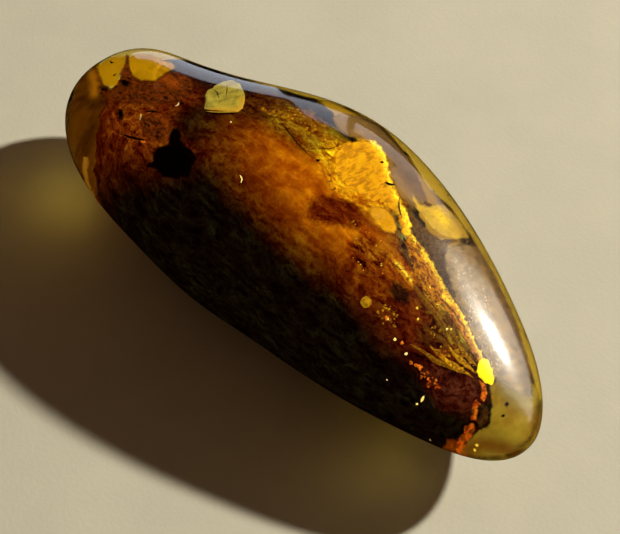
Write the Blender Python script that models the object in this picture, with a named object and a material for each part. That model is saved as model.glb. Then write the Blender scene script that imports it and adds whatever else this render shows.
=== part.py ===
"""A polished piece of clear amber with a dark mass of forest debris sealed inside it.

It is modelled in metres with +Z up. The long way lies along X, the worn flat side rests on Z = 0 and the
origin is the middle of that underside. The debris fills a closed pocket, so the clear amber is made as an
upper and a lower half that meet at the level where the piece is widest.
"""

from dataclasses import dataclass

import bmesh
import bpy
import numpy as np
from mathutils import Matrix, Vector, noise

MM = 0.001

# Driving dimensions, in millimetres
LENGTH = 70.0
SEAM_HEIGHT = 10.0
SEAM_GAP = 0.3
POCKET_GAP = 0.35
SECTION_POWER = 2.25

# The debris has broad lumps, and ledges that step down across it like broken bark
LUMP_HEIGHT = 0.5
LUMP_SPACING = 8.0
LEDGE_HEIGHT = 0.4
LEDGE_SPACING = 5.5
LEDGE_LEAN = (0.35, 0.8, 0.5)

# The underside is worn flat, and turns up into the sides over this height
BASE_BLEND = 0.5

# Mesh fineness: points around a section and sections along the piece
AMBER_AROUND = 48
DEBRIS_AROUND = 40
SECTIONS = 32
SHARP_EDGE = 0.9

# A point of the plain sphere this near to its middle level lies on the seam
ON_SEAM = 1e-6


@dataclass(frozen=True)
class Form:
    """A rounded body along X, drawn through a few cross-sections, in millimetres.

    Each section is a rounded oval that is widest at the seam. far_side and near_side are the places across
    of its two sides, and crown and keel are the heights of its top and its bottom. Both ends close in to a
    point on the seam, so the sections near an end show only the form that the body heads for.
    """

    left: float
    right: float
    end_power: float
    stations: tuple
    far_side: tuple
    near_side: tuple
    crown: tuple
    keel: tuple


AMBER = Form(
    left=-LENGTH / 2,
    right=LENGTH / 2,
    end_power=2.25,
    stations=(-35, -26, -14, -4, 4, 14, 26, 35),
    far_side=(15.5, 11, 11, 13.5, 13.5, 12, 9.5, 8),
    near_side=(-17, -15.5, -14, -13.5, -12.5, -12, -12, -13.5),
    crown=(20.5, 20, 21.5, 23, 23.5, 22.5, 20.5, 19),
    keel=(0, -0.5, -1, -1.2, -1.2, -1, -0.5, 0.5),
)

DEBRIS = Form(
    left=-28.5,
    right=29.5,
    end_power=3,
    stations=(-32, -24, -14, -4, 6, 16, 28),
    far_side=(9, 8.5, 8, 7.5, 6.5, 3.8, 3.4),
    near_side=(-9, -10, -11.5, -11.5, -10.5, -9.8, -9.4),
    crown=(17.5, 17.5, 18.8, 20.5, 20.5, 19.5, 18),
    keel=(3, 2.5, 1.6, 1.6, 1.6, 1.8, 2.5),
)


def smooth_curve(stations, values):
    """A natural cubic through the stations, as a function of the place along the piece."""
    x = np.array(stations, float)
    y = np.array(values, float)
    step = np.diff(x)
    slope = np.diff(y) / step
    count = len(x)
    system = np.eye(count)
    right_side = np.zeros(count)
    for i in range(1, count - 1):
        system[i, i - 1 : i + 2] = (step[i - 1], 2 * (step[i - 1] + step[i]), step[i])
        right_side[i] = 6 * (slope[i] - slope[i - 1])
    bend = np.linalg.solve(system, right_side)

    def curve(place):
        i = int(np.clip(np.searchsorted(x, place) - 1, 0, count - 2))
        before = place - x[i]
        after = x[i + 1] - place
        cubic = (bend[i] * after**3 + bend[i + 1] * before**3) / (6 * step[i])
        lower = (y[i] / step[i] - bend[i] * step[i] / 6) * after
        upper = (y[i + 1] / step[i] - bend[i + 1] * step[i] / 6) * before
        return cubic + lower + upper

    return curve


def rounded(value):
    """Turns a point of a circle into one of the fuller section, keeping its sign."""
    return np.sign(value) * abs(value) ** (2 / SECTION_POWER)


def worn(height):
    """Wears the underside flat at Z = 0, with a smooth turn at its rim."""
    if height >= BASE_BLEND:
        return height
    if height <= -BASE_BLEND:
        return 0.0
    return (height + BASE_BLEND) ** 2 / (4 * BASE_BLEND)


def shape_sphere(bm, form):
    """Moves the points of a unit sphere, whose poles lie on X, onto the form."""
    far_side = smooth_curve(form.stations, form.far_side)
    near_side = smooth_curve(form.stations, form.near_side)
    crown = smooth_curve(form.stations, form.crown)
    keel = smooth_curve(form.stations, form.keel)
    middle = (form.left + form.right) / 2
    reach = (form.right - form.left) / 2
    for vert in bm.verts:
        along, across, up = vert.co
        ring = max((across**2 + up**2) ** 0.5, 1e-9)
        closing = max(1 - abs(along) ** form.end_power, 0) ** 0.5
        x = middle + reach * along
        rise = crown(x) - SEAM_HEIGHT if up > 0 else SEAM_HEIGHT - keel(x)
        centre = (far_side(x) + near_side(x)) / 2
        half_width = (far_side(x) - near_side(x)) / 2
        y = centre + half_width * closing * rounded(across / ring)
        z = SEAM_HEIGHT + rise * closing * rounded(up / ring)
        vert.co = (x, y, worn(z))


def sphere(around):
    """A unit sphere with its poles on X and a line of points at the seam."""
    bm = bmesh.new()
    to_x = Matrix.Rotation(np.pi / 2, 3, "Y").to_4x4()
    bmesh.ops.create_uvsphere(bm, u_segments=around, v_segments=SECTIONS, radius=1, matrix=to_x)
    return bm


def roughen(bm):
    """Gives the debris its lumps and its stepped ledges."""
    bm.normal_update()
    lean = Vector(LEDGE_LEAN).normalized()
    moves = []
    for vert in bm.verts:
        lump = noise.noise(vert.co / LUMP_SPACING)
        wander = noise.noise(vert.co / LUMP_SPACING + lean)
        ledge = (vert.co.dot(lean) / LEDGE_SPACING + wander) % 1 - 0.5
        moves.append(vert.normal * (LUMP_HEIGHT * lump + LEDGE_HEIGHT * ledge))
    for vert, move in zip(bm.verts, moves):
        vert.co += move


def grow(bm, distance):
    """Moves every point outwards by the distance."""
    bm.normal_update()
    moves = [vert.normal * distance for vert in bm.verts]
    for vert, move in zip(bm.verts, moves):
        vert.co += move


def debris_surface():
    """The debris mass as a closed mesh, in millimetres."""
    bm = sphere(DEBRIS_AROUND)
    shape_sphere(bm, DEBRIS)
    roughen(bm)
    return bm


def amber_surface():
    """The whole outside of the amber as a closed mesh, in millimetres."""
    bm = sphere(AMBER_AROUND)
    shape_sphere(bm, AMBER)
    return bm


def pocket_surface():
    """The wall of the pocket round the debris, facing the debris."""
    bm = debris_surface()
    grow(bm, POCKET_GAP)
    bmesh.ops.reverse_faces(bm, faces=bm.faces)
    return bm


def half_of(bm, around, side):
    """Keeps one side of the seam, and sets the cut edge level beside the gap.

    The sphere's own points are what is compared with the seam, because the form moves them.
    """
    plain = sphere(around)
    heights = [vert.co.z * side for vert in plain.verts]
    plain.free()
    for vert, height in zip(bm.verts, heights):
        if abs(height) < ON_SEAM:
            vert.co.z = SEAM_HEIGHT + side * SEAM_GAP / 2
    away = [vert for vert, height in zip(bm.verts, heights) if height < -ON_SEAM]
    bmesh.ops.delete(bm, geom=away, context="VERTS")


def amber_half(side):
    """One half of the clear amber: its outside, its side of the pocket and the flat seam between them."""
    bm = amber_surface()
    half_of(bm, AMBER_AROUND, side)
    pocket = pocket_surface()
    half_of(pocket, DEBRIS_AROUND, side)
    wall = bpy.data.meshes.new("pocket_wall")
    pocket.to_mesh(wall)
    pocket.free()
    bm.from_mesh(wall)
    bpy.data.meshes.remove(wall)
    rims = [edge for edge in bm.edges if edge.is_boundary]
    bmesh.ops.bridge_loops(bm, edges=rims)
    bmesh.ops.recalc_face_normals(bm, faces=bm.faces)
    if bm.calc_volume(signed=True) < 0:
        bmesh.ops.reverse_faces(bm, faces=bm.faces)
    return bm


def centre_of(bm):
    """How far the middle of the mesh lies off the X axis."""
    across = [vert.co.y for vert in bm.verts]
    return (min(across) + max(across)) / 2


def amber_material():
    """Clear golden-brown amber with a glossy polish."""
    material = bpy.data.materials.new("clear_amber")
    material.use_nodes = True
    shader = material.node_tree.nodes["Principled BSDF"]
    shader.inputs["Base Color"].default_value = (0.85, 0.48, 0.06, 1)
    shader.inputs["Roughness"].default_value = 0.04
    shader.inputs["Metallic"].default_value = 0
    shader.inputs["IOR"].default_value = 1.54
    shader.inputs["Transmission Weight"].default_value = 0.9
    return material


def debris_material():
    """Dark red-brown wood and bark crumbs."""
    material = bpy.data.materials.new("dark_debris")
    material.use_nodes = True
    shader = material.node_tree.nodes["Principled BSDF"]
    shader.inputs["Base Color"].default_value = (0.07, 0.02, 0.006, 1)
    shader.inputs["Roughness"].default_value = 0.6
    shader.inputs["Metallic"].default_value = 0
    return material


def place(name, bm, material, shift, parent):
    """Makes a named object of the mesh, in metres, moved sideways onto the X axis."""
    to_metres = Matrix.Scale(MM, 4) @ Matrix.Translation((0, -shift, 0))
    bmesh.ops.transform(bm, matrix=to_metres, verts=bm.verts)
    mesh = bpy.data.meshes.new(name)
    bm.to_mesh(mesh)
    bm.free()
    mesh.shade_smooth()
    mesh.set_sharp_from_angle(angle=SHARP_EDGE)
    mesh.materials.append(material)
    piece = bpy.data.objects.new(name, mesh)
    bpy.context.scene.collection.objects.link(piece)
    piece.parent = parent
    return piece


def main():
    """Clears the scene and builds the three pieces."""
    for old in list(bpy.data.objects):
        bpy.data.objects.remove(old)
    nugget = bpy.data.objects.new("amber_piece", None)
    bpy.context.scene.collection.objects.link(nugget)
    outside = amber_surface()
    shift = centre_of(outside)
    outside.free()
    clear = amber_material()
    place("amber_upper", amber_half(1), clear, shift, nugget)
    place("amber_lower", amber_half(-1), clear, shift, nugget)
    place("debris_mass", debris_surface(), debris_material(), shift, nugget)


main()
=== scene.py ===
"""The looks of a polished piece of clear amber with a dark mass of forest debris sealed inside it.

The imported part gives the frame: metres, +Z up, the long way along X and the worn flat side on Z = 0.
Sizes are in millimetres, apart from those of the lights, which are in metres. Places inside the amber are
named by the pixel of the 620 x 534 photo that shows them, and a line of sight bent at the polished
surface finds where on the debris, or how deep, they lie.
"""

import logging
import math
from collections.abc import Sequence
from dataclasses import dataclass, field
from enum import Enum
from typing import Any

import bmesh
import bpy
import numpy as np
from mathutils import Matrix, Vector, noise
from mathutils.bvhtree import BVHTree
from mathutils.geometry import delaunay_2d_cdt


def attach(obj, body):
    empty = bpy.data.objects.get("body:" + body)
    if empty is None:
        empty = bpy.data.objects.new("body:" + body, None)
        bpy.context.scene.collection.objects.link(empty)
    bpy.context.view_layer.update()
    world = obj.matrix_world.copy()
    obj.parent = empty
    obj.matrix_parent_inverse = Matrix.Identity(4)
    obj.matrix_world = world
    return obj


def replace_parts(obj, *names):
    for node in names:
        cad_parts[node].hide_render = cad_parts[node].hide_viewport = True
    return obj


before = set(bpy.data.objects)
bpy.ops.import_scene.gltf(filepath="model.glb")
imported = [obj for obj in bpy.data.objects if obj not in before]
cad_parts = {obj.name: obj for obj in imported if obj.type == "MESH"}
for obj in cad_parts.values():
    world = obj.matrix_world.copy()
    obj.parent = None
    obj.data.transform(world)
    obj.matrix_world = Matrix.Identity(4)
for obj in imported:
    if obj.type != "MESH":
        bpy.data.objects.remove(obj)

LOG = logging.getLogger("amber_piece")
BODY = "root"
MM = 0.001
PHOTO_WIDTH = 620
PHOTO_HEIGHT = 534
NOISE_SEED = 1

Colour = tuple[float, float, float]
Pixel = tuple[float, float]


class Tone(Enum):
    """The colours in the amber, as linear red, green and blue.

    Some of them are painted light and shade, as the inclusions that use them say.
    """

    SOOT = (0.0037, 0.0015, 0.0006)
    PLUM = (0.050, 0.008, 0.0045)
    RED_BROWN = (0.085, 0.009, 0.0008)
    BARK = (0.150, 0.026, 0.002)
    WOOD = (0.32, 0.065, 0.004)
    EMBER = (0.85, 0.10, 0.006)
    DIM_CLOUD = (0.15, 0.030, 0.001)
    CLOUD = (0.36, 0.100, 0.002)
    BROWN_GOLD = (0.18, 0.088, 0.005)
    MUSTARD = (0.60, 0.31, 0.008)
    GOLD = (0.78, 0.42, 0.006)
    LEAF_BROWN = (0.46, 0.20, 0.006)
    HOT_GOLD = (1.0, 0.80, 0.06)
    LEMON = (1.0, 0.86, 0.004)
    STRAW = (0.52, 0.46, 0.10)
    PALE_OLIVE = (0.34, 0.30, 0.06)
    OLIVE = (0.11, 0.085, 0.012)
    RIM_GOLD = (0.42, 0.29, 0.03)
    TIP_BROWN = (0.17, 0.065, 0.006)
    DEEP_BROWN = (0.055, 0.014, 0.002)
    # Grey-brown for painted shade beside the ridge.
    SHADE_GREY = (0.10, 0.065, 0.032)
    ORANGE = (0.95, 0.26, 0.02)
    ORANGE_GOLD = (0.62, 0.26, 0.004)
    WINDOW_GOLD = (0.50, 0.29, 0.002)
    PALE_GOLD = (0.46, 0.31, 0.04)
    SUNNY = (0.64, 0.47, 0.09)
    TIP_ORANGE = (0.30, 0.13, 0.008)
    MAUVE = (0.19, 0.125, 0.085)
    TAN = (0.32, 0.21, 0.12)
    WHITE = (0.95, 0.90, 0.75)


class Value:
    """A socket of a material's node tree that can be used like a number in an expression."""

    def __init__(self, shade: "Shade", socket: bpy.types.NodeSocket) -> None:
        """Keeps the node tree's builder and the socket."""
        self.shade = shade
        self.socket = socket

    def maths(self, operation: str, first: Any, second: Any = 0.0) -> "Value":
        """Adds one Math node.

        Args:
            operation: The Math node's operation.
            first: A value or a number.
            second: A value or a number.

        Returns:
            The node's result.
        """
        return self.shade.node("ShaderNodeMath", {"operation": operation}, {0: first, 1: second})

    def __add__(self, other: Any) -> "Value":
        """self + other."""
        return self.maths("ADD", self, other)

    __radd__ = __add__

    def __sub__(self, other: Any) -> "Value":
        """self - other."""
        return self.maths("SUBTRACT", self, other)

    def __rsub__(self, other: Any) -> "Value":
        """other - self."""
        return self.maths("SUBTRACT", other, self)

    def __mul__(self, other: Any) -> "Value":
        """self * other."""
        return self.maths("MULTIPLY", self, other)

    __rmul__ = __mul__


class Shade:
    """Builds one material's node tree round its Principled shader."""

    def __init__(self, name: str) -> None:
        """Makes a material with an untouched Principled shader."""
        self.material = bpy.data.materials.new(name)
        self.material.use_nodes = True
        self.tree = self.material.node_tree
        self.surface = self.tree.nodes["Principled BSDF"]
        self.output = self.tree.nodes["Material Output"]

    def node(self, kind: str, settings: dict[str, Any], sockets: dict[Any, Any], output: int = 0) -> Value:
        """Adds a node.

        Args:
            kind: The node's type.
            settings: Its settings, which are set first.
            sockets: Values, numbers or colours for its inputs, by name or index.
            output: Which of its outputs is wanted.

        Returns:
            That output.
        """
        made = self.tree.nodes.new(kind)
        for name, value in settings.items():
            setattr(made, name, value)
        for name, value in sockets.items():
            self.feed(made.inputs[name], value)
        return Value(self, made.outputs[output])

    def feed(self, socket: bpy.types.NodeSocket, value: Any) -> None:
        """Links a value to a socket, or sets a plain number, vector or colour on it.

        Args:
            socket: The input.
            value: What it takes.
        """
        if isinstance(value, Value):
            self.tree.links.new(value.socket, socket)
        elif socket.type == "RGBA" and isinstance(value, tuple) and len(value) == 3:
            socket.default_value = (*value, 1.0)
        else:
            socket.default_value = value

    def finish(self, **inputs: Any) -> bpy.types.Material:
        """Feeds the Principled shader.

        Args:
            **inputs: Its inputs, with underscores for the spaces in their names.

        Returns:
            The finished material.
        """
        for name, value in inputs.items():
            self.feed(self.surface.inputs[name.replace("_", " ")], value)
        return self.material

    def place(self) -> Value:
        """The place on the piece, in millimetres."""
        metres = self.node("ShaderNodeTexCoord", {}, {}, 3)
        return self.scaled(metres, (1 / MM, 1 / MM, 1 / MM))

    def scaled(self, vector: Value, by: Sequence[float]) -> Value:
        """The vector with each part multiplied."""
        return self.node("ShaderNodeVectorMath", {"operation": "MULTIPLY"}, {0: vector, 1: tuple(by)})

    def shifted(self, vector: Value, by: Any) -> Value:
        """The sum of two vectors."""
        return self.node("ShaderNodeVectorMath", {"operation": "ADD"}, {0: vector, 1: by})

    def noise(
        self, place: Value, scale: float, detail: float = 2.0, rough: float = 0.5, output: int = 0
    ) -> Value:
        """Soft noise.

        Args:
            place: Where to read it, in millimetres.
            scale: How many lumps there are to a millimetre.
            detail: How many finer layers it has.
            rough: How strong the finer layers are.
            output: 0 for a number and 1 for a colour.

        Returns:
            The noise, about 0 to 1.
        """
        sockets = {"Vector": place, "Scale": scale, "Detail": detail, "Roughness": rough}
        return self.node("ShaderNodeTexNoise", {}, sockets, output)

    def between(self, value: Value, low: float, high: float, start: float = 0.0, end: float = 1.0) -> Value:
        """A smooth step.

        Args:
            value: What is tested.
            low: Where the step starts.
            high: Where it ends.
            start: The result at low.
            end: The result at high.

        Returns:
            A number from start to end.
        """
        settings = {"interpolation_type": "SMOOTHSTEP"}
        return self.node("ShaderNodeMapRange", settings, {0: value, 1: low, 2: high, 3: start, 4: end})

    def mix(self, factor: Any, low: Any, high: Any, blend: str = "MIX") -> Value:
        """Mixes two colours.

        Args:
            factor: How much of high there is.
            low: A colour.
            high: A colour.
            blend: The Mix node's blend type.

        Returns:
            The mixed colour.
        """
        settings = {"data_type": "RGBA", "blend_type": blend}
        return self.node("ShaderNodeMix", settings, {0: factor, 6: low, 7: high}, 2)

    def times(self, colour: Value, strength: Any) -> Value:
        """A colour with each part multiplied by one number."""
        return self.node("ShaderNodeVectorMath", {"operation": "SCALE"}, {0: colour, 3: strength})

    def length(self, vector: Value) -> Value:
        """How long a vector is."""
        return self.node("ShaderNodeVectorMath", {"operation": "LENGTH"}, {0: vector}, 1)

    def kept(self, name: str) -> Value:
        """A number that the mesh keeps at its points."""
        return self.node("ShaderNodeAttribute", {"attribute_name": name}, {}, 2)

    def bump(
        self, height: Value, distance: float, strength: float = 1.0, normal: Value | None = None
    ) -> Value:
        """A bumped normal.

        Args:
            height: The height pattern.
            distance: How high 1 is, in millimetres.
            strength: How much of it shows.
            normal: A normal that is already bumped.

        Returns:
            The normal.
        """
        sockets = {"Height": height, "Distance": distance * MM, "Strength": strength}
        if normal is not None:
            sockets["Normal"] = normal
        return self.node("ShaderNodeBump", {}, sockets)


@dataclass(frozen=True)
class NaturalCurve:
    """A natural cubic through a few stations along the piece."""

    stations: tuple[float, ...]
    values: tuple[float, ...]

    def bends(self) -> np.ndarray:
        """The second derivative at each station."""
        step = np.diff(self.stations)
        slope = np.diff(self.values) / step
        count = len(self.stations)
        system = np.eye(count)
        right_side = np.zeros(count)
        for i in range(1, count - 1):
            system[i, i - 1 : i + 2] = (step[i - 1], 2 * (step[i - 1] + step[i]), step[i])
            right_side[i] = 6 * (slope[i] - slope[i - 1])
        return np.linalg.solve(system, right_side)

    def at(self, place: np.ndarray) -> np.ndarray:
        """Reads the curve.

        Args:
            place: Places along the piece.

        Returns:
            The curve there.
        """
        x = np.array(self.stations, float)
        y = np.array(self.values, float)
        step = np.diff(x)
        bend = self.bends()
        i = np.clip(np.searchsorted(x, place) - 1, 0, len(x) - 2)
        before = place - x[i]
        after = x[i + 1] - place
        cubic = (bend[i] * after**3 + bend[i + 1] * before**3) / (6 * step[i])
        lower = (y[i] / step[i] - bend[i] * step[i] / 6) * after
        upper = (y[i + 1] / step[i] - bend[i + 1] * step[i] / 6) * before
        return cubic + lower + upper


@dataclass
class Skin:
    """A mesh in the making: points in millimetres, faces that face outwards, and numbers at the points."""

    points: np.ndarray
    faces: list[tuple[int, ...]]
    fields: dict[str, np.ndarray] = field(default_factory=dict)

    def normals(self) -> np.ndarray:
        """The outward direction at each point."""
        mesh = bpy.data.meshes.new("draft")
        mesh.from_pydata(self.points.tolist(), [], self.faces)
        found = np.zeros(len(mesh.vertices) * 3, np.float32)
        mesh.vertex_normals.foreach_get("vector", found)
        bpy.data.meshes.remove(mesh)
        return found.reshape(-1, 3).astype(float)

    def pushed(self, height: np.ndarray) -> "Skin":
        """The skin with each point moved outwards by a height."""
        return Skin(self.points + self.normals() * height[:, None], self.faces)

    def tree(self) -> BVHTree:
        """The skin as something that a ray can hit, in millimetres."""
        return BVHTree.FromPolygons([Vector(p) for p in self.points], self.faces)

    def piece(self, name: str, material: bpy.types.Material, tidy: bool = False) -> bpy.types.Object:
        """Makes the skin an object in metres.

        Args:
            name: The object's name.
            material: Its finish.
            tidy: Whether to turn the faces outwards first.

        Returns:
            The object, which rides on the part's body.
        """
        mesh = bpy.data.meshes.new(name)
        mesh.from_pydata((self.points * MM).tolist(), [], self.faces)
        if tidy:
            bm = bmesh.new()
            bm.from_mesh(mesh)
            bmesh.ops.recalc_face_normals(bm, faces=bm.faces)
            bm.to_mesh(mesh)
            bm.free()
        for field_name, values in self.fields.items():
            mesh.attributes.new(field_name, "FLOAT", "POINT").data.foreach_set("value", values)
        mesh.shade_smooth()
        mesh.materials.append(material)
        made = bpy.data.objects.new(name, mesh)
        bpy.context.scene.collection.objects.link(made)
        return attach(made, BODY)


def joined(skins: Sequence[Skin]) -> Skin:
    """Several skins as one.

    Args:
        skins: The skins, which keep their places.

    Returns:
        One skin with all of their points, faces and fields.
    """
    start = 0
    faces = []
    for skin in skins:
        faces.extend(tuple(i + start for i in face) for face in skin.faces)
        start += len(skin.points)
    fields = {name: np.concatenate([skin.fields[name] for skin in skins]) for name in skins[0].fields}
    return Skin(np.vstack([skin.points for skin in skins]), faces, fields)


def ring_faces(rings: int, around: int) -> list[tuple[int, ...]]:
    """The four-sided faces between rings of points.

    Args:
        rings: How many rings there are.
        around: How many points each of them has.

    Returns:
        The faces, ring by ring.
    """
    faces = []
    for ring in range(rings - 1):
        for point in range(around):
            start = ring * around
            after = (point + 1) % around
            faces.append((start + point, start + after, start + around + after, start + around + point))
    return faces


@dataclass(frozen=True)
class Form:
    """A rounded body along X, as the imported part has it, in millimetres.

    Each section is a rounded oval that is widest at the seam. far_side and near_side are the places
    across of its two sides, and crown and keel are the heights of its top and its bottom.
    """

    left: float
    right: float
    end_power: float
    stations: tuple[float, ...]
    far_side: tuple[float, ...]
    near_side: tuple[float, ...]
    crown: tuple[float, ...]
    keel: tuple[float, ...]
    seam: float = 10.0
    section_power: float = 2.25
    base_blend: float = 0.5

    def worn(self, height: np.ndarray) -> np.ndarray:
        """Wears the underside flat at 0, with a smooth turn at its rim."""
        blend = self.base_blend
        turn = (height + blend) ** 2 / (4 * blend)
        return np.where(height >= blend, height, np.where(height <= -blend, 0.0, turn))

    def skin(self, around: int, sections: int) -> Skin:
        """The body's surface.

        Args:
            around: Points round a section.
            sections: Steps along the body.

        Returns:
            A closed skin with a point at each end.
        """
        along = -np.cos(np.pi * np.arange(1, sections) / sections)[:, None]
        angle = (2 * np.pi * np.arange(around) / around)[None, :]
        closing = np.sqrt(1 - np.abs(along) ** self.end_power)
        x = (self.left + self.right) / 2 + (self.right - self.left) / 2 * along
        far, near, crown, keel = (
            NaturalCurve(self.stations, values).at(x)
            for values in (self.far_side, self.near_side, self.crown, self.keel)
        )
        across, up = (
            np.sign(wave) * np.abs(wave) ** (2 / self.section_power)
            for wave in (np.cos(angle), np.sin(angle))
        )
        y = (far + near) / 2 + (far - near) / 2 * closing * across
        rise = np.where(up > 0, crown - self.seam, self.seam - keel)
        z = self.worn(self.seam + rise * closing * up)
        rings = np.stack([np.broadcast_to(x, y.shape), y, z], axis=-1).reshape(-1, 3)
        ends = [self.end_point(self.left), self.end_point(self.right)]
        return Skin(np.vstack([rings, ends]), self.faces(around, sections - 1))

    def end_point(self, x: float) -> tuple[float, float, float]:
        """The point in which an end closes."""
        here = np.array([x])
        far, near = (
            NaturalCurve(self.stations, values).at(here)[0] for values in (self.far_side, self.near_side)
        )
        return (x, (far + near) / 2, self.seam)

    def faces(self, around: int, rings: int) -> list[tuple[int, ...]]:
        """The faces of a body of rings with a point at each end, facing outwards."""
        first, last = around * rings, around * rings + 1
        left = [(first, (a + 1) % around, a) for a in range(around)]
        tail = (rings - 1) * around
        right = [(last, tail + a, tail + (a + 1) % around) for a in range(around)]
        return ring_faces(rings, around) + left + right


AMBER = Form(
    left=-35,
    right=35,
    end_power=2.25,
    stations=(-35, -26, -14, -4, 4, 14, 26, 35),
    far_side=(15.5, 11, 11, 13.5, 13.5, 12, 9.5, 8),
    near_side=(-17, -15.5, -14, -13.5, -12.5, -12, -12, -13.5),
    crown=(20.5, 20, 21.5, 23, 23.5, 22.5, 20.5, 19),
    keel=(0, -0.5, -1, -1.2, -1.2, -1, -0.5, 0.5),
)

DEBRIS = Form(
    left=-28.5,
    right=29.5,
    end_power=3,
    stations=(-32, -24, -14, -4, 6, 16, 28),
    far_side=(9, 8.5, 8, 7.5, 6.5, 3.8, 3.4),
    near_side=(-9, -10, -11.5, -11.5, -10.5, -9.8, -9.4),
    crown=(17.5, 17.5, 18.8, 20.5, 20.5, 19.5, 18),
    keel=(3, 2.5, 1.6, 1.6, 1.6, 1.8, 2.5),
)


@dataclass(frozen=True)
class PhotoCamera:
    """Where the photo was taken from, in degrees and millimetres."""

    azimuth: float = 47.0
    elevation: float = 50.0
    distance: float = 183.1
    target: tuple[float, float, float] = (3.75, -3.064, 10.0)
    lens: float = 100.0
    sensor: float = 36.0

    def back(self) -> Vector:
        """The direction from the piece to the camera."""
        a, e = math.radians(self.azimuth), math.radians(self.elevation)
        return Vector((math.sin(a) * math.cos(e), -math.cos(a) * math.cos(e), math.sin(e)))

    def right(self) -> Vector:
        """The photo's rightward direction."""
        a = math.radians(self.azimuth)
        return Vector((math.cos(a), math.sin(a), 0))

    def eye(self) -> Vector:
        """The camera's place."""
        return Vector(self.target) + self.back() * self.distance

    def ray(self, pixel: Pixel) -> Vector:
        """The direction in which the camera sees a pixel."""
        reach = self.lens / self.sensor * PHOTO_WIDTH
        up = self.back().cross(self.right())
        across = self.right() * ((pixel[0] - PHOTO_WIDTH / 2) / reach)
        down = up * ((pixel[1] - PHOTO_HEIGHT / 2) / reach)
        return (-self.back() + across - down).normalized()

    def make(self) -> bpy.types.Object:
        """Makes the camera and gives it to the scene."""
        data = bpy.data.cameras.new("photo_camera")
        data.lens = self.lens
        data.sensor_width = self.sensor
        data.clip_start = 0.01
        made = bpy.data.objects.new("photo_camera", data)
        made.location = self.eye() * MM
        made.rotation_mode = "QUATERNION"
        made.rotation_quaternion = (-self.back()).to_track_quat("-Z", "Y")
        bpy.context.scene.collection.objects.link(made)
        bpy.context.scene.camera = made
        return made


@dataclass
class Sight:
    """The photo's lines of sight, bent where they enter the amber.

    middle is the pixel that a line just off the amber is drawn in to, by most_pull at the most, and
    spare_wall is the share of the way through the amber that nothing lies beyond. The way through is
    measured from start_inside below the skin.
    """

    camera: PhotoCamera
    outside: BVHTree
    debris: BVHTree
    index: float = 1.54
    middle: Pixel = (310.0, 250.0)
    spare_wall: float = 0.65
    most_pull: float = 0.2
    halvings: int = 12
    start_inside: float = 0.05

    def meet(self, pixel: Pixel, pull: float) -> tuple[Vector, Vector | None, Vector | None]:
        """Finds where the camera's ray through a pixel meets the amber.

        Args:
            pixel: A pixel of the photo.
            pull: How far it is drawn in towards the amber's middle first, from 0 to 1.

        Returns:
            The ray's direction, and the place that it meets with its outward direction, or None twice.
        """
        ray = self.camera.ray(Vector(pixel).lerp(Vector(self.middle), pull))
        place, normal, _, _ = self.outside.ray_cast(self.camera.eye(), ray)
        return ray, place, normal

    def enter(self, pixel: Pixel) -> tuple[Vector, Vector]:
        """Follows a pixel's line of sight into the amber.

        Args:
            pixel: A pixel of the photo, on the amber. One just off it is drawn in towards its middle.

        Returns:
            Where it enters, and its direction inside.
        """
        ray, place, normal = self.meet(pixel, 0.0)
        if place is None:
            miss, pull = 0.0, self.most_pull
            for _ in range(self.halvings):
                half = (miss + pull) / 2
                if self.meet(pixel, half)[1] is None:
                    miss = half
                else:
                    pull = half
            ray, place, normal = self.meet(pixel, pull)
        flat = (ray + normal * (-ray.dot(normal))) / self.index
        inside = flat - normal * math.sqrt(max(1 - flat.length_squared, 0))
        return place, inside.normalized()

    def before(self, pixel: Pixel, depth: float, lift: float = 0.0) -> Vector:
        """A place under a pixel, inside the amber and in front of the debris.

        Args:
            pixel: A pixel of the photo, on the amber.
            depth: How far below the polished surface it lies, where there is room for that.
            lift: How far in front of the debris it stays.

        Returns:
            The place.
        """
        place, inside = self.enter(pixel)
        _, _, _, across = self.outside.ray_cast(place + inside * self.start_inside, inside)
        _, _, _, clear = self.debris.ray_cast(place, inside)
        if across is not None:
            depth = min(depth, across * self.spare_wall)
        if clear is not None:
            depth = min(depth, clear - lift)
        return place + inside * depth


@dataclass(frozen=True)
class Patch:
    """A soft-edged area of another colour on the debris, placed where the photo shows it.

    at is its middle and reach its half-lengths, in the photo's pixels, and turn is how far the first of
    them is turned clockwise from the photo's rightward direction, in degrees. cover is how much of its
    colour there is inside, and soft is how far its edge spreads, as a share of its reach. grain is how
    strongly the wood's fibres and crumbs show in it, and glow is how much of its colour shines as a
    painted glow, for light that is scattered in the amber.
    """

    tone: Tone
    at: Pixel
    reach: tuple[float, float]
    turn: float = 0.0
    cover: float = 0.9
    soft: float = 0.4
    grain: float = 1.0
    glow: float = 0.8
    spare_depth: float = 6.0

    def axes(self, sight: Sight) -> tuple[Vector, Vector, Vector]:
        """The patch's middle, its turn as Euler angles, and its three half-lengths, in millimetres."""
        turn = math.radians(self.turn)
        middle = sight.before(self.at, self.spare_depth)
        ends = []
        for reach, angle in zip(self.reach, (turn, turn + math.pi / 2)):
            step = Vector((math.cos(angle), math.sin(angle))) * reach
            both = [sight.before(Vector(self.at) + step * side, self.spare_depth) for side in (-0.5, 0.5)]
            ends.append(both[1] - both[0])
        first = ends[0].normalized()
        second = (ends[1] - first * ends[1].dot(first)).normalized()
        third = first.cross(second)
        spin = Matrix((first, second, third)).transposed().to_euler()
        longest = max(end.length for end in ends)
        return middle, Vector(spin), Vector((ends[0].length, ends[1].length, longest))

    def mask(self, shade: Shade, place: Value, sight: Sight) -> Value:
        """How much of the patch there is at a place, from 0 to its cover."""
        middle, spin, size = self.axes(sight)
        sockets = {0: place, 1: tuple(middle), 2: tuple(spin), 3: tuple(size)}
        inside = shade.node("ShaderNodeMapping", {"vector_type": "TEXTURE"}, sockets)
        return shade.between(shade.length(inside), 1 + self.soft, max(1 - self.soft, 0), 0.0, self.cover)


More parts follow.
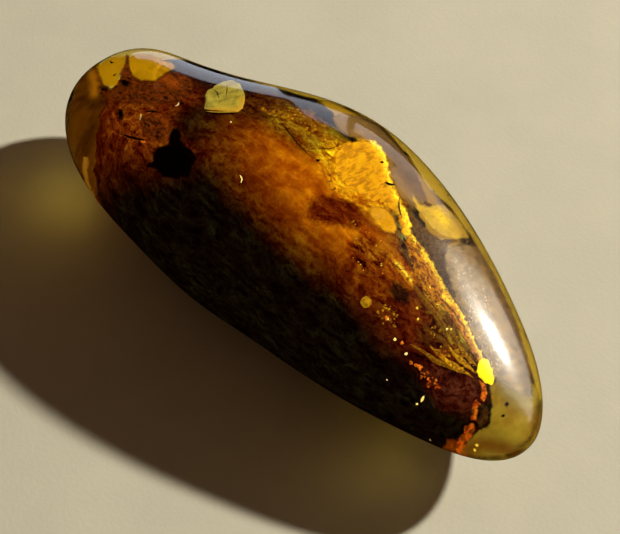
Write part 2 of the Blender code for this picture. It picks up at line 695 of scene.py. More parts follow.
@dataclass(frozen=True)
class ClearAmber:
    """Clear golden-brown amber with a hand polish.

    The polish is more worn towards the narrow end: by least_worn up to the start of worn_reach, counted in
    millimetres along the piece, and fully from its end on.
    """

    name: str = "clear_amber"
    tint: Colour = (1.0, 0.985, 0.95)
    index: float = 1.54
    haze: float = 0.035
    haze_scale: float = 0.35
    absorbed: Colour = (0.97, 0.85, 0.10)
    density: float = 210.0
    grain_scale: float = 6.0
    grain_height: float = 0.008
    scratch_stretch: tuple[float, float, float] = (0.35, 5.0, 5.0)
    scratch_edges: tuple[float, float] = (0.58, 0.72)
    scratch_height: float = 0.0008
    worn_reach: tuple[float, float] = (8.0, 20.0)
    least_worn: float = 0.15
    wear: tuple[float, float] = (0.3, 0.8)
    wear_haze: float = 0.3

    def make(self) -> bpy.types.Material:
        """Makes the material."""
        shade = Shade(self.name)
        place = shade.place()
        along = shade.node("ShaderNodeSeparateXYZ", {}, {0: place})
        worn = shade.between(along, *self.worn_reach, self.least_worn, 1.0)
        grain = shade.noise(place, self.grain_scale, 3.0, 0.6) * worn
        lengthways = shade.scaled(place, self.scratch_stretch)
        scratches = shade.between(shade.noise(lengthways, 2.0, 2.0, 0.5), *self.scratch_edges)
        normal = shade.bump(grain, self.grain_height)
        normal = shade.bump(scratches, self.scratch_height, 1.0, normal)
        rough = shade.between(shade.noise(place, self.haze_scale, 3.0), 0.35, 0.7, self.haze, self.haze * 2)
        wear = shade.between(shade.noise(place, self.grain_scale, 2.0), 0.35, 0.65, *self.wear)
        sockets = {"Color": (*self.absorbed, 1.0), "Density": self.density}
        depth = shade.node("ShaderNodeVolumeAbsorption", {}, sockets)
        shade.feed(shade.output.inputs["Volume"], depth)
        return shade.finish(
            Base_Color=self.tint,
            Roughness=rough,
            Metallic=0.0,
            IOR=self.index,
            Transmission_Weight=1.0,
            Coat_Weight=worn * wear,
            Coat_Roughness=self.wear_haze,
            Normal=normal,
        )


@dataclass(frozen=True)
class DebrisFinish:
    """Layered wood, bark and soil crumbs, with the amber's clouds and golden flows lying against them.

    Its colour also shines as a painted glow. The golden clouds on its upper, far side and the dark of its
    near side are partly its own colours and partly painted light and shade, as if lit from the far side.
    """

    sight: Sight
    patches: tuple[Patch, ...]
    name: str = "dark_debris"
    base_glow: float = 0.9
    wander: float = 1.6
    fine_wander: float = 0.7
    curl: float = 3.0
    warp_scale: float = 0.3
    fibre_stretch: tuple[float, float, float] = (0.22, 1.0, 0.8)
    fibre_scale: float = 1.7
    crumb_scale: float = 2.8
    cloud_scale: float = 0.4
    least_light: float = 0.04
    relief: float = 0.14

    def make(self) -> bpy.types.Material:
        """Makes the material."""
        shade = Shade(self.name)
        place = shade.place()
        broad = shade.shifted(shade.noise(place, self.warp_scale, 3.0, 0.55, 1), (-0.5, -0.5, -0.5))
        fine = shade.shifted(shade.noise(place, self.warp_scale * 6, 3.0, 0.6, 1), (-0.5, -0.5, -0.5))
        warped = shade.shifted(place, shade.scaled(broad, (self.wander,) * 3))
        warped = shade.shifted(warped, shade.scaled(fine, (self.fine_wander,) * 3))
        colour: Any = Tone.SOOT.value
        glow: Any = self.base_glow
        grain: Any = 1.0
        for patch in self.patches:
            mask = patch.mask(shade, warped, self.sight)
            colour = shade.mix(mask, colour, patch.tone.value)
            glow = mask * (patch.glow - glow) + glow
            grain = mask * (patch.grain - grain) + grain
        curled = shade.shifted(place, shade.scaled(broad, (self.curl,) * 3))
        fibres = shade.noise(shade.scaled(curled, self.fibre_stretch), self.fibre_scale, 6.0, 0.68)
        crumbs = shade.noise(place, self.crumb_scale, 6.0, 0.72)
        clouds = shade.noise(place, self.cloud_scale, 4.0, 0.6)
        ripple = shade.between(fibres, 0.32, 0.68, -0.75, 0.85) + shade.between(crumbs, 0.3, 0.7, -0.35, 0.4)
        light = (ripple * grain + 1.0) * shade.between(clouds, 0.32, 0.68, 0.68, 1.3)
        light = light.maths("MAXIMUM", light, self.least_light)
        tint = shade.node("ShaderNodeCombineXYZ", {}, {0: light, 1: light * light, 2: light * light})
        painted = shade.mix(1.0, colour, tint, "MULTIPLY")
        # Painted glow: the colour also shines as emission, for light scattered in the amber.
        shining = shade.times(painted, glow)
        return shade.finish(
            Base_Color=painted,
            Roughness=shade.between(crumbs, 0.3, 0.7, 0.45, 0.7),
            Metallic=0.0,
            Specular_IOR_Level=0.0,
            Emission_Color=shining,
            Emission_Strength=1.0,
            Normal=shade.bump(fibres * 0.6 + crumbs * 0.4, self.relief),
        )


@dataclass(frozen=True)
class GrainFinish:
    """A flake, crust or film in the amber: two tones in a grain, and a third one for a painted highlight.

    Each part keeps two numbers at its points. "glare" is 1 along a sheet's brightest line, where the
    highlight is painted, and less beside it, and "inner" goes from 0 at a sheet's edge to 1 inside. steady
    is the least share of the glare that shows between its crumbs, and fade thins its edge out to nothing.
    The colour also shines as a painted glow, by glow, and by hot_glow in the highlight.
    """

    name: str
    dark: Tone
    light: Tone
    hot: Tone
    glow: float = 0.5
    hot_glow: float = 0.6
    grain: float = 0.3
    stretch: tuple[float, float, float] = (1.0, 1.0, 1.0)
    lean: tuple[float, float, float] = (0.0, 0.0, 0.0)
    edges: tuple[float, float] = (0.38, 0.62)
    cover: float = 1.0
    fade: bool = True
    metallic: float = 0.0
    roughness: float = 0.4
    relief: float = 0.0
    steady: float = 0.12
    sheen: float = 0.2

    def make(self) -> bpy.types.Material:
        """Makes the material."""
        shade = Shade(self.name)
        place = shade.place()
        turned = shade.node("ShaderNodeMapping", {}, {0: place, 2: self.lean, 3: self.stretch})
        grain = shade.noise(turned, self.grain, 5.0, 0.65)
        crumbs = shade.noise(place, 5.0, 3.0, 0.6)
        heat = shade.kept("glare")
        body = shade.mix(shade.between(grain, *self.edges), self.dark.value, self.light.value)
        # Painted highlight: the hot tone along the brightest line, broken up by crumbs.
        warm = heat * shade.between(crumbs, 0.38, 0.6, self.steady, 1.0)
        colour = shade.mix(warm, body, self.hot.value)
        # Painted glow: the colour shines as emission, more or less strongly in the painted highlight.
        strength = warm * (self.hot_glow - self.glow) + self.glow
        shining = shade.times(colour, strength)
        if self.fade:
            ragged = shade.kept("inner") + shade.between(grain, 0.3, 0.7, -0.25, 0.25)
            shade.feed(shade.surface.inputs["Alpha"], shade.between(ragged, 0.0, 1.0) * self.cover)
        return shade.finish(
            Base_Color=colour,
            Roughness=self.roughness,
            Metallic=self.metallic,
            Specular_IOR_Level=self.sheen,
            Emission_Color=shining,
            Emission_Strength=1.0,
            Normal=shade.bump(grain, self.relief),
        )


@dataclass(frozen=True)
class PaleFloor:
    """A plain, pale, matt sheet with painted shade: it darkens over lit_reach, counted from below the
    piece's middle.
    """

    name: str = "pale_floor"
    colour: Colour = (0.60, 0.57, 0.44)
    lit_reach: tuple[float, float] = (78.0, 150.0)
    unlit: float = 0.12
    mottle_scale: float = 0.06
    mottle_shade: float = 0.93
    tooth_scale: float = 2.2
    tooth_height: float = 0.05
    roughness: float = 0.85

    def make(self) -> bpy.types.Material:
        """Makes the material."""
        shade = Shade(self.name)
        place = shade.place()
        # Painted shade: darker away from the piece, down to unlit beyond lit_reach.
        painted_falloff = shade.between(shade.length(place), *self.lit_reach, 1.0, self.unlit)
        mottle = shade.noise(place, self.mottle_scale, 4.0, 0.6)
        tooth = shade.noise(place, self.tooth_scale, 3.0, 0.6)
        darker = tuple(part * self.mottle_shade for part in self.colour)
        colour = shade.times(shade.mix(shade.between(mottle, 0.3, 0.7), darker, self.colour), painted_falloff)
        normal = shade.bump(tooth, self.tooth_height, 0.5)
        return shade.finish(Base_Color=colour, Roughness=self.roughness, Normal=normal)


@dataclass
class AmberBody:
    """The clear amber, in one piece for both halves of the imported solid."""

    form: Form
    shift: float
    around: int = 224
    sections: int = 200
    waver: float = 0.03
    waver_spacing: float = 7.0
    finish: ClearAmber = field(default_factory=ClearAmber)

    def skin(self) -> Skin:
        """The polished surface, with the slight waver of a hand polish."""
        plain = self.form.skin(self.around, self.sections)
        flat = plain.points[:, 2] > self.form.base_blend
        waves = np.array([noise.noise(Vector(p) / self.waver_spacing) for p in plain.points])
        made = plain.pushed((waves - 0.4) * self.waver * flat)
        made.points[:, 1] -= self.shift
        return made

    def build(self) -> bpy.types.Object:
        """Builds and dresses the clear amber."""
        made = self.skin().piece("clear_amber_body", self.finish.make())
        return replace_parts(made, "amber_upper", "amber_lower")


@dataclass
class DebrisMass:
    """The dark mass in the amber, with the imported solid's lumps and ledges and finer bark and crumbs."""

    form: Form
    shift: float
    around: int = 250
    sections: int = 300
    lump_height: float = 0.5
    lump_spacing: float = 8.0
    ledge_height: float = 0.4
    ledge_spacing: float = 5.5
    ledge_lean: tuple[float, float, float] = (0.35, 0.8, 0.5)
    fibre_stretch: tuple[float, float, float] = (0.22, 1.1, 1.1)
    fibre_height: float = 0.28
    crumb_scale: float = 0.9
    crumb_height: float = 0.22

    def height(self, place: Vector) -> float:
        """How far the debris stands out at a place.

        Args:
            place: A place on the plain form.

        Returns:
            The height, in millimetres.
        """
        lean = Vector(self.ledge_lean).normalized()
        lump = noise.noise(place / self.lump_spacing)
        wander = noise.noise(place / self.lump_spacing + lean)
        ledge = (place.dot(lean) / self.ledge_spacing + wander) % 1 - 0.5
        along = Vector([part * stretch for part, stretch in zip(place, self.fibre_stretch)])
        fibre = noise.fractal(along, 0.8, 2.0, 4)
        crumb = noise.turbulence(place * self.crumb_scale, 3, False)
        fine = self.fibre_height * fibre + self.crumb_height * (crumb - 0.5)
        return self.lump_height * lump + self.ledge_height * ledge + fine

    def skin(self) -> Skin:
        """The debris's surface."""
        plain = self.form.skin(self.around, self.sections)
        made = plain.pushed(np.array([self.height(Vector(p)) for p in plain.points]))
        made.points[:, 1] -= self.shift
        return made

    def build(self, skin: Skin, finish: DebrisFinish) -> bpy.types.Object:
        """Builds and dresses the debris."""
        made = skin.piece("debris_detail", finish.make())
        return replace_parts(made, "debris_mass")


def encloses(outline: Sequence[Vector], pixel: Vector) -> bool:
    """Tells whether a pixel lies in a closed outline."""
    within = False
    for start, end in zip(outline, [*outline[1:], outline[0]]):
        if (start[1] > pixel[1]) != (end[1] > pixel[1]):
            cross = start[0] + (pixel[1] - start[1]) / (end[1] - start[1]) * (end[0] - start[0])
            within ^= pixel[0] < cross
    return within


def away(pixel: Vector, line: Sequence[Pixel]) -> float:
    """How many pixels a place is away from a line of pixels, or very many from an empty one."""
    nearest = 1e6
    for start, end in zip(line[:-1], line[1:]):
        step = Vector(end) - Vector(start)
        along = max(0.0, min(1.0, (pixel - Vector(start)).dot(step) / max(step.length_squared, 1e-9)))
        nearest = min(nearest, (pixel - Vector(start) - step * along).length)
    return nearest


@dataclass(frozen=True)
class Sheet:
    """A flake, film or crust with the outline that the photo shows, in its pixels.

    It lies depth below the polished surface, or lift in front of the debris where that is nearer. step is
    the spacing of its points, hot is its brightest line, warmth how far that line's glare spreads, and
    feather how wide its edge is. ragged, step, warmth and feather are in pixels, and the other sizes in
    millimetres.
    """

    outline: tuple[Pixel, ...]
    depth: float = 9.0
    lift: float = 0.3
    thickness: float = 0.1
    relief: float = 0.0
    ragged: float = 0.8
    step: float = 2.0
    hot: tuple[Pixel, ...] = ()
    warmth: float = 7.0
    feather: float = 8.0

    def rim(self) -> list[Vector]:
        """The outline with points in between, and a little raggedness."""
        points = []
        for start, end in zip(self.outline, (*self.outline[1:], self.outline[0])):
            side = Vector(end) - Vector(start)
            count = max(1, round(side.length / self.step * 1.6))
            for i in range(count):
                at = Vector(start) + side * (i / count)
                shake = noise.noise_vector(Vector((*at, 0)) * 0.35) * self.ragged
                points.append(at + shake.to_2d())
        return points

    def filling(self, rim: Sequence[Vector]) -> list[Vector]:
        """Points inside the outline, in staggered rows."""
        low = [min(p[i] for p in rim) for i in (0, 1)]
        high = [max(p[i] for p in rim) for i in (0, 1)]
        closed = [tuple(p) for p in rim] + [tuple(rim[0])]
        found = []
        for row in range(int((high[1] - low[1]) / self.step) + 1):
            for column in range(int((high[0] - low[0]) / self.step) + 1):
                at = Vector((low[0] + (column + row % 2 / 2) * self.step, low[1] + row * self.step))
                if encloses(rim, at) and away(at, closed) > self.step * 0.45:
                    found.append(at)
        return found

    def skin(self, sight: Sight) -> Skin:
        """Makes the sheet.

        Args:
            sight: The photo's lines of sight.

        Returns:
            A closed skin, thinner at its edge, with its glare and its way in from the edge.
        """
        rim = self.rim()
        count = len(rim)
        flat, _, triangles, *_ = delaunay_2d_cdt(rim + self.filling(rim), [], [list(range(count))], 1, 1e-4)
        total = len(flat)
        closed = [tuple(p) for p in rim] + [tuple(rim[0])]
        inner = np.array([min(away(p, closed) / self.feather, 1.0) for p in flat])
        glare = np.array([math.exp(-((away(p, self.hot) / self.warmth) ** 2)) for p in flat])
        front, back = [], []
        for at, depth in zip(flat, inner):
            swell = noise.noise(Vector((*at, 3.0)) * 0.16) + 0.5 * noise.noise(Vector((*at, 9.0)) * 0.5)
            top = sight.before(at, self.depth, self.lift + self.thickness + self.relief * (1 + swell))
            _, ahead = sight.enter(at)
            front.append(top)
            back.append(top + ahead * self.thickness * (0.25 + 0.75 * depth))
        edges = {}
        for face in triangles:
            for pair in zip(face, (*face[1:], face[0])):
                edges[pair] = True
        walls = [(b, a, a + total, b + total) for a, b in edges if (b, a) not in edges]
        faces = [tuple(face) for face in triangles]
        faces += [tuple(i + total for i in reversed(face)) for face in triangles]
        fields = {"glare": np.tile(glare, 2), "inner": np.tile(inner, 2)}
        return Skin(np.array([tuple(p) for p in front + back]), faces + walls, fields)


@dataclass(frozen=True)
class Thread:
    """A splinter, crack or hair that runs along a line of the photo's pixels, thicker in its middle.

    Its width, depth and lift are in millimetres, and heat is its glare.
    """

    line: tuple[Pixel, ...]
    width: float = 0.16
    depth: float = 9.0
    lift: float = 0.35
    sides: int = 6
    heat: float = 1.0

    def skin(self, sight: Sight) -> Skin:
        """Makes the thread as a closed tube."""
        route = []
        for start, end in zip(self.line[:-1], self.line[1:]):
            count = max(1, round((Vector(end) - Vector(start)).length / 2))
            route += [Vector(start).lerp(Vector(end), i / count) for i in range(count)]
        route.append(Vector(self.line[-1]))
        places = [sight.before(at, self.depth, self.lift) for at in route]
        rings = []
        for i, place in enumerate(places):
            ahead = (places[min(i + 1, len(places) - 1)] - places[max(i - 1, 0)]).normalized()
            across = ahead.cross(sight.camera.back()).normalized()
            up = across.cross(ahead)
            bulge = math.sin(math.pi * (i + 0.35) / (len(places) - 0.3))
            swell = noise.noise(place * 2.0) * 0.3 + bulge + 0.15
            for side in range(self.sides):
                turn = 2 * math.pi * side / self.sides
                out = across * math.cos(turn) + up * math.sin(turn)
                rings.append(place + out * self.width / 2 * swell)
        faces = ring_faces(len(places), self.sides)
        last = (len(places) - 1) * self.sides
        caps = [tuple(reversed(range(self.sides))), tuple(range(last, last + self.sides))]
        fields = {"glare": np.full(len(rings), self.heat), "inner": np.ones(len(rings))}
        return Skin(np.array([tuple(p) for p in rings]), faces + caps, fields)


@dataclass(frozen=True)
class Crumb:
    """A grain, bubble or spark at one of the photo's pixels.

    Its size, depth and lift are in millimetres. rough is how uneven its surface is, flat is its thickness
    as a share of its width, heat is its glare, and rings is how finely it is divided.
    """

    at: Pixel
    size: float = 0.3
    depth: float = 9.0
    lift: float = 0.25
    rough: float = 1.1
    flat: float = 0.5
    heat: float = 1.0
    rings: int = 7

    def skin(self, sight: Sight) -> Skin:
        """Makes the crumb as a closed lump with an uneven surface."""
        middle = sight.before(self.at, self.depth, self.lift)
        around = self.rings + 2
        points = []
        for ring in range(1, self.rings):
            up = math.pi * ring / self.rings
            for side in range(around):
                turn = 2 * math.pi * side / around
                out = math.sin(up)
                points.append(Vector((out * math.cos(turn), out * math.sin(turn), math.cos(up))))
        points += [Vector((0, 0, 1)), Vector((0, 0, -1))]
        to_camera = sight.camera.back().to_track_quat("Z", "Y").to_matrix()
        moved = []
        for point in points:
            swell = 1 + self.rough * noise.noise(point * 1.9 + middle)
            flattened = Vector((point.x, point.y, point.z * self.flat))
            moved.append(middle + to_camera @ (flattened * swell * self.size / 2))
        count = (self.rings - 1) * around
        faces = ring_faces(self.rings - 1, around)
        faces += [(count, (s + 1) % around, s) for s in range(around)]
        faces += [(count + 1, count - around + s, count - around + (s + 1) % around) for s in range(around)]
        fields = {"glare": np.full(len(moved), self.heat), "inner": np.ones(len(moved))}
        return Skin(np.array([tuple(p) for p in moved]), faces, fields)


@dataclass(frozen=True)
class Scatter:
    """Crumbs strewn over an oval of the photo's pixels, with Crumb's depth and lift.

    at, reach and turn say where the oval is as a Patch's do, and size is about the middle of the crumbs'
    sizes.
    """

    at: Pixel
    reach: tuple[float, float]
    turn: float
    count: int
    size: float = 0.32
    depth: float = 9.0
    lift: float = 0.15
    seed: int = 1

    def skin(self, sight: Sight) -> Skin:
        """Makes the crumbs as one skin."""
        random = np.random.default_rng(self.seed)
        turn = Matrix.Rotation(-math.radians(self.turn), 2)
        crumbs = []
        for _ in range(self.count):
            out = random.uniform() ** 0.5
            angle = random.uniform(0, 2 * math.pi)
            step = Vector((math.cos(angle) * self.reach[0], math.sin(angle) * self.reach[1])) * out @ turn
            size = self.size * random.uniform(0.4, 1.5)
            place = tuple(Vector(self.at) + step)
            crumb = Crumb(place, size, self.depth, self.lift, heat=random.uniform(), rings=5)
            crumbs.append(crumb.skin(sight))
        return joined(crumbs)


Part = Sheet | Thread | Crumb | Scatter


@dataclass(frozen=True)
class Inclusion:
    """A thing in the amber, made of sheets, threads and crumbs with one finish."""

    finish: GrainFinish
    parts: tuple[Part, ...]

    def build(self, sight: Sight) -> bpy.types.Object:
        """Builds and dresses the inclusion, which takes its finish's name."""
        skin = joined([part.skin(sight) for part in self.parts])
        return skin.piece(self.finish.name, self.finish.make(), tidy=True)


PATCHES = (
    Patch(tone=Tone.RED_BROWN, at=(146, 112), reach=(66, 42), turn=22, cover=0.85, soft=0.45),
    Patch(tone=Tone.BARK, at=(145, 118), reach=(34, 28), turn=25, grain=1.2),
    Patch(tone=Tone.SOOT, at=(200, 122), reach=(28, 20), turn=20, soft=0.5),
    Patch(tone=Tone.RED_BROWN, at=(400, 300), reach=(96, 32), turn=48, cover=0.85, soft=0.5),
    Patch(tone=Tone.DIM_CLOUD, at=(300, 188), reach=(104, 42), turn=43, cover=0.95, soft=0.55, grain=0.3),
    Patch(tone=Tone.CLOUD, at=(325, 198), reach=(88, 26), turn=46, soft=0.6, grain=0.18),
    Patch(tone=Tone.DEEP_BROWN, at=(266, 102), reach=(24, 13), turn=15, cover=0.95),
    Patch(tone=Tone.BROWN_GOLD, at=(312, 130), reach=(42, 15), turn=33, cover=0.95, soft=0.35, grain=0.8),
    Patch(tone=Tone.MUSTARD, at=(366, 176), reach=(38, 28), turn=60, soft=0.35, grain=0.7),
    Patch(tone=Tone.RED_BROWN, at=(337, 211), reach=(31, 14), turn=12, cover=0.95, soft=0.25, grain=0.8),
    Patch(tone=Tone.RED_BROWN, at=(370, 258), reach=(24, 18), turn=50, cover=0.8, soft=0.5, grain=1.4),
    Patch(tone=Tone.CLOUD, at=(405, 272), reach=(18, 9), turn=50, grain=0.8),
    Patch(tone=Tone.SOOT, at=(402, 292), reach=(14, 9), turn=50, cover=0.85),
    Patch(tone=Tone.BROWN_GOLD, at=(452, 322), reach=(34, 14), turn=58, soft=0.5, grain=0.9),
    Patch(tone=Tone.DEEP_BROWN, at=(432, 336), reach=(17, 12), turn=35),
    Patch(tone=Tone.PLUM, at=(455, 392), reach=(32, 20), turn=40, soft=0.5),
    # Painted shade beside the ridge, grey-brown and speckled.
    Patch(tone=Tone.SHADE_GREY, at=(436, 268), reach=(66, 12), turn=58, cover=0.85, grain=1.3),
)


@dataclass(frozen=True)
class FarRim(Inclusion):
    """The golden light that gathers inside the far edge of the clear amber."""

    finish: GrainFinish = GrainFinish(
        name="far_rim", dark=Tone.BROWN_GOLD, light=Tone.RIM_GOLD, hot=Tone.GOLD, glow=0.6,
        edges=(0.15, 0.5), cover=0.7,
    )
    parts: tuple[Part, ...] = (
        Sheet(
            outline=(
                (330, 96), (345, 100), (390, 122), (424, 156), (456, 200), (482, 240), (508, 280),
                (530, 330), (546, 380), (548, 402), (538, 402), (529, 366), (515, 322), (494, 276),
                (467, 232), (450, 208), (429, 190), (406, 154), (382, 128), (350, 110), (330, 103),
            ),
            depth=1.2, ragged=0.5, step=2.5, feather=3.0,
        ),
        Sheet(
            outline=(
                (150, 44), (180, 50), (215, 63), (250, 74), (300, 88), (348, 103), (348, 108), (300, 96),
                (250, 82), (215, 71), (180, 59), (150, 55),
            ),
            depth=1.2, ragged=0.5, feather=3.0,
        ),
    )


@dataclass(frozen=True)
class BarkFlakes(Inclusion):
    """Pieces of bark that stand up round the two clear windows at the broad end."""

    finish: GrainFinish = GrainFinish(
        name="bark_flakes", dark=Tone.SOOT, light=Tone.BARK, hot=Tone.WOOD, glow=0.75, hot_glow=0.8,
        grain=2.0, stretch=(0.6, 1.8, 1.3), lean=(0.2, 0.3, 0.5), edges=(0.36, 0.62), relief=0.25,
    )
    parts: tuple[Part, ...] = (
        Sheet(
            outline=(
                (120, 72), (124, 64), (125, 54), (130, 54), (130, 65), (134, 76), (128, 82), (121, 80),
            ),
            depth=3.4, lift=0.8, relief=0.05, ragged=0.6, feather=2.5,
        ),
        Sheet(
            outline=(
                (92, 72), (97, 66), (101, 70), (101, 78), (105, 84), (113, 86), (118, 78), (117, 72),
                (122, 69), (126, 64), (127, 57), (129, 69), (137, 76), (145, 81), (156, 79), (163, 72),
                (176, 70), (192, 76), (196, 90), (180, 104), (150, 108), (118, 104), (99, 100),
            ),
            lift=0.1, thickness=0.3, relief=0.3, ragged=1.4, step=3.0, hot=((160, 76), (176, 84)),
            warmth=5.0, feather=7.0,
        ),
        Sheet(
            outline=(
                (138, 116), (150, 112), (163, 113), (169, 122), (170, 133), (164, 143), (150, 141),
                (141, 133),
            ),
            lift=0.1, thickness=0.3, relief=0.3, ragged=1.6, step=3.0,
            hot=((156, 112), (166, 114), (170, 128)), warmth=4.0, feather=5.0,
        ),
        Sheet(
            outline=((112, 108), (116, 112), (118, 121), (123, 125), (121, 129), (114, 124), (110, 115)),
            lift=0.15, thickness=0.3, relief=0.15, step=3.0, hot=((113, 112), (120, 127)), warmth=3.0,
            feather=2.0,
        ),
    )


@dataclass(frozen=True)
class SootyLumps(Inclusion):
    """The blackest crumbs: the lobed blob with its stem, and black spots in and beside the bark."""

    finish: GrainFinish = GrainFinish(
        name="sooty_lumps", dark=Tone.SOOT, light=Tone.DEEP_BROWN, hot=Tone.SOOT, glow=0.1, hot_glow=0.1,
        grain=2.2, edges=(0.6, 0.85), relief=0.2, sheen=0.0,
    )
    parts: tuple[Part, ...] = (
        Sheet(
            outline=(
                (171, 127), (180, 127), (182, 140), (187, 145), (194, 149), (198, 160), (193, 169),
                (190, 178), (176, 180), (161, 178), (155, 170), (145, 169), (146, 162), (152, 161),
                (151, 152), (157, 146), (167, 143),
            ),
            lift=0.5, thickness=0.9, relief=0.5, ragged=1.6, step=3.0, feather=3.5,
        ),
        Sheet(
            outline=((117, 108), (122, 107), (125, 114), (125, 121), (119, 121), (116, 115)), lift=0.4,
            thickness=0.3, relief=0.1, ragged=0.9, step=3.0, feather=3.0,
        ),
        Sheet(
            outline=((97, 85), (111, 84), (112, 92), (104, 98), (97, 95)), lift=0.5, thickness=0.3,
            relief=0.2, ragged=0.9, step=3.0, feather=5.0,
        ),
        Sheet(
            outline=((119, 74), (126, 71), (133, 80), (131, 88), (119, 87)), lift=0.5, thickness=0.3,
            relief=0.2, ragged=0.9, step=3.0, feather=5.0,
        ),
        Thread(line=((120, 134), (130, 137), (147, 141)), width=0.2),
        Thread(line=((144, 112), (152, 111), (161, 113)), width=0.2, lift=0.45),
        Thread(line=((278, 119), (288, 131), (298, 144), (311, 157)), width=0.12, lift=0.2),
        Thread(line=((315, 148), (330, 149), (344, 143)), width=0.09, lift=0.3),
        Crumb(at=(318, 160), size=0.28, lift=0.4),
        Crumb(at=(382, 162), depth=3.0, lift=0.4),
        Thread(line=((367, 158), (374, 166), (381, 174)), depth=4.0, lift=0.6),
        Thread(line=((385, 182), (389, 184), (395, 185)), width=0.24, depth=3.0, lift=0.8),
        Thread(line=((399, 197), (399, 208), (402, 218)), width=0.14, depth=3.0, lift=0.6),
        Thread(line=((404, 152), (409, 156)), width=0.4, depth=1.2),
        Crumb(at=(507, 404), depth=4.0),
        Crumb(at=(503, 416), size=0.24, depth=4.0),
        Crumb(at=(434, 191), size=0.16, depth=1.0),
        Thread(line=((213, 89), (217, 92), (219, 98)), width=0.11, depth=1.9),
        Thread(line=((227, 84), (227, 90), (226, 96)), width=0.08, depth=1.9),
        Thread(line=((205, 112), (220, 114), (238, 113)), width=0.22, depth=3.2),
        Thread(line=((110, 61), (112, 63), (114, 62)), width=0.25, depth=3.0),
        Thread(line=((113, 76), (116, 74)), width=0.25, depth=3.0),
    )


@dataclass(frozen=True)
class GoldLeaf(Inclusion):
    """A flow surface in the amber, golden like gold leaf, with a painted highlight along its outer edge."""

    finish: GrainFinish = GrainFinish(
        name="gold_leaf", dark=Tone.LEAF_BROWN, light=Tone.GOLD, hot=Tone.HOT_GOLD, glow=0.68,
        hot_glow=1.5, grain=1.4, stretch=(1.3, 0.6, 1.0), lean=(0.0, 0.0, 0.25), metallic=0.1,
        relief=0.35,
    )
    parts: tuple[Part, ...] = (
        Sheet(
            outline=(
                (334, 152), (344, 143), (352, 140), (374, 139), (381, 146), (387, 158), (392, 178),
                (396, 189), (401, 200), (406, 209), (411, 222), (413, 236), (406, 239), (400, 230),
                (396, 214), (384, 204), (368, 202), (356, 193), (342, 184), (334, 172),
            ),
            depth=3.2, thickness=0.12, relief=0.3, ragged=2.8, step=2.5,
            hot=(
                (374, 141), (381, 148), (387, 160), (392, 180), (396, 190), (402, 203), (407, 214),
                (411, 230),
            ),
            warmth=5.0, feather=2.5,
        ),
    )


@dataclass(frozen=True)
class MustardLens(Inclusion):
    """The smooth, dull gold lens below the gold leaf."""

    finish: GrainFinish = GrainFinish(
        name="mustard_lens", dark=Tone.BROWN_GOLD, light=Tone.MUSTARD, hot=Tone.GOLD, grain=0.6,
        edges=(0.2, 0.6), cover=0.95, relief=0.02,
    )
    parts: tuple[Part, ...] = (
        Sheet(
            outline=(
                (368, 208), (376, 205), (386, 208), (395, 216), (399, 228), (395, 236), (386, 234),
                (376, 226), (369, 216),
            ),
            depth=5.0, lift=0.45, thickness=0.25, hot=((372, 222), (396, 233)), feather=4.0,
        ),
    )


@dataclass(frozen=True)
class CrumblyRidge(Inclusion):
    """The crumbly golden crust along the debris, down to the narrow end, with a painted highlight along it.
    """

    finish: GrainFinish = GrainFinish(
        name="crumbly_ridge", dark=Tone.BARK, light=Tone.ORANGE_GOLD, hot=Tone.HOT_GOLD, glow=0.54,
        hot_glow=1.3, grain=1.35, stretch=(0.9, 1.6, 1.4), lean=(0.0, 0.0, 0.6), edges=(0.42, 0.58),
        fade=False, metallic=0.1, relief=0.5,
    )
    parts: tuple[Part, ...] = (
        Sheet(
            outline=(
                (405, 236), (412, 234), (418, 242), (425, 250), (431, 259), (437, 269), (442, 281),
                (449, 292), (456, 301), (463, 315), (470, 329), (477, 344), (483, 358), (478, 361),
                (470, 350), (461, 333), (452, 318), (443, 306), (433, 299), (425, 292), (419, 280),
                (413, 266), (407, 250),
            ),
            depth=4.0, lift=0.15, thickness=0.3, relief=0.5, ragged=3.4,
            hot=(
                (412, 236), (418, 245), (428, 257), (436, 270), (443, 286), (453, 298), (463, 316),
                (472, 335), (482, 356),
            ),
            warmth=2.8,
        ),
        Sheet(
            outline=((391, 257), (400, 262), (409, 271), (415, 283), (411, 287), (402, 277), (393, 266)),
            thickness=0.3, relief=0.1, ragged=1.4, hot=((396, 262), (412, 281)), warmth=1.2,
        ),
        Sheet(
            outline=((434, 350), (440, 349), (448, 352), (446, 357), (438, 358)), thickness=0.2,
            relief=0.1, ragged=1.4,
        ),
        Sheet(
            outline=((418, 242), (428, 252), (430, 262), (424, 264), (418, 256), (414, 246)), depth=5.0,
            lift=0.5, thickness=0.2, relief=0.3, ragged=2.2, hot=((422, 250), (427, 260)), warmth=3.0,
        ),
        Sheet(
            outline=((441, 293), (448, 291), (455, 300), (456, 309), (450, 308), (443, 300)), depth=5.0,
            lift=0.5, thickness=0.2, relief=0.3, ragged=1.8, hot=((444, 296), (453, 303)), warmth=3.5,
        ),
        Scatter(at=(430, 283), reach=(36, 7), turn=58, count=70, depth=5.0, lift=0.3, seed=3),
        Scatter(at=(370, 255), reach=(24, 18), turn=50, count=22, size=0.12, lift=0.2, seed=5),
    )


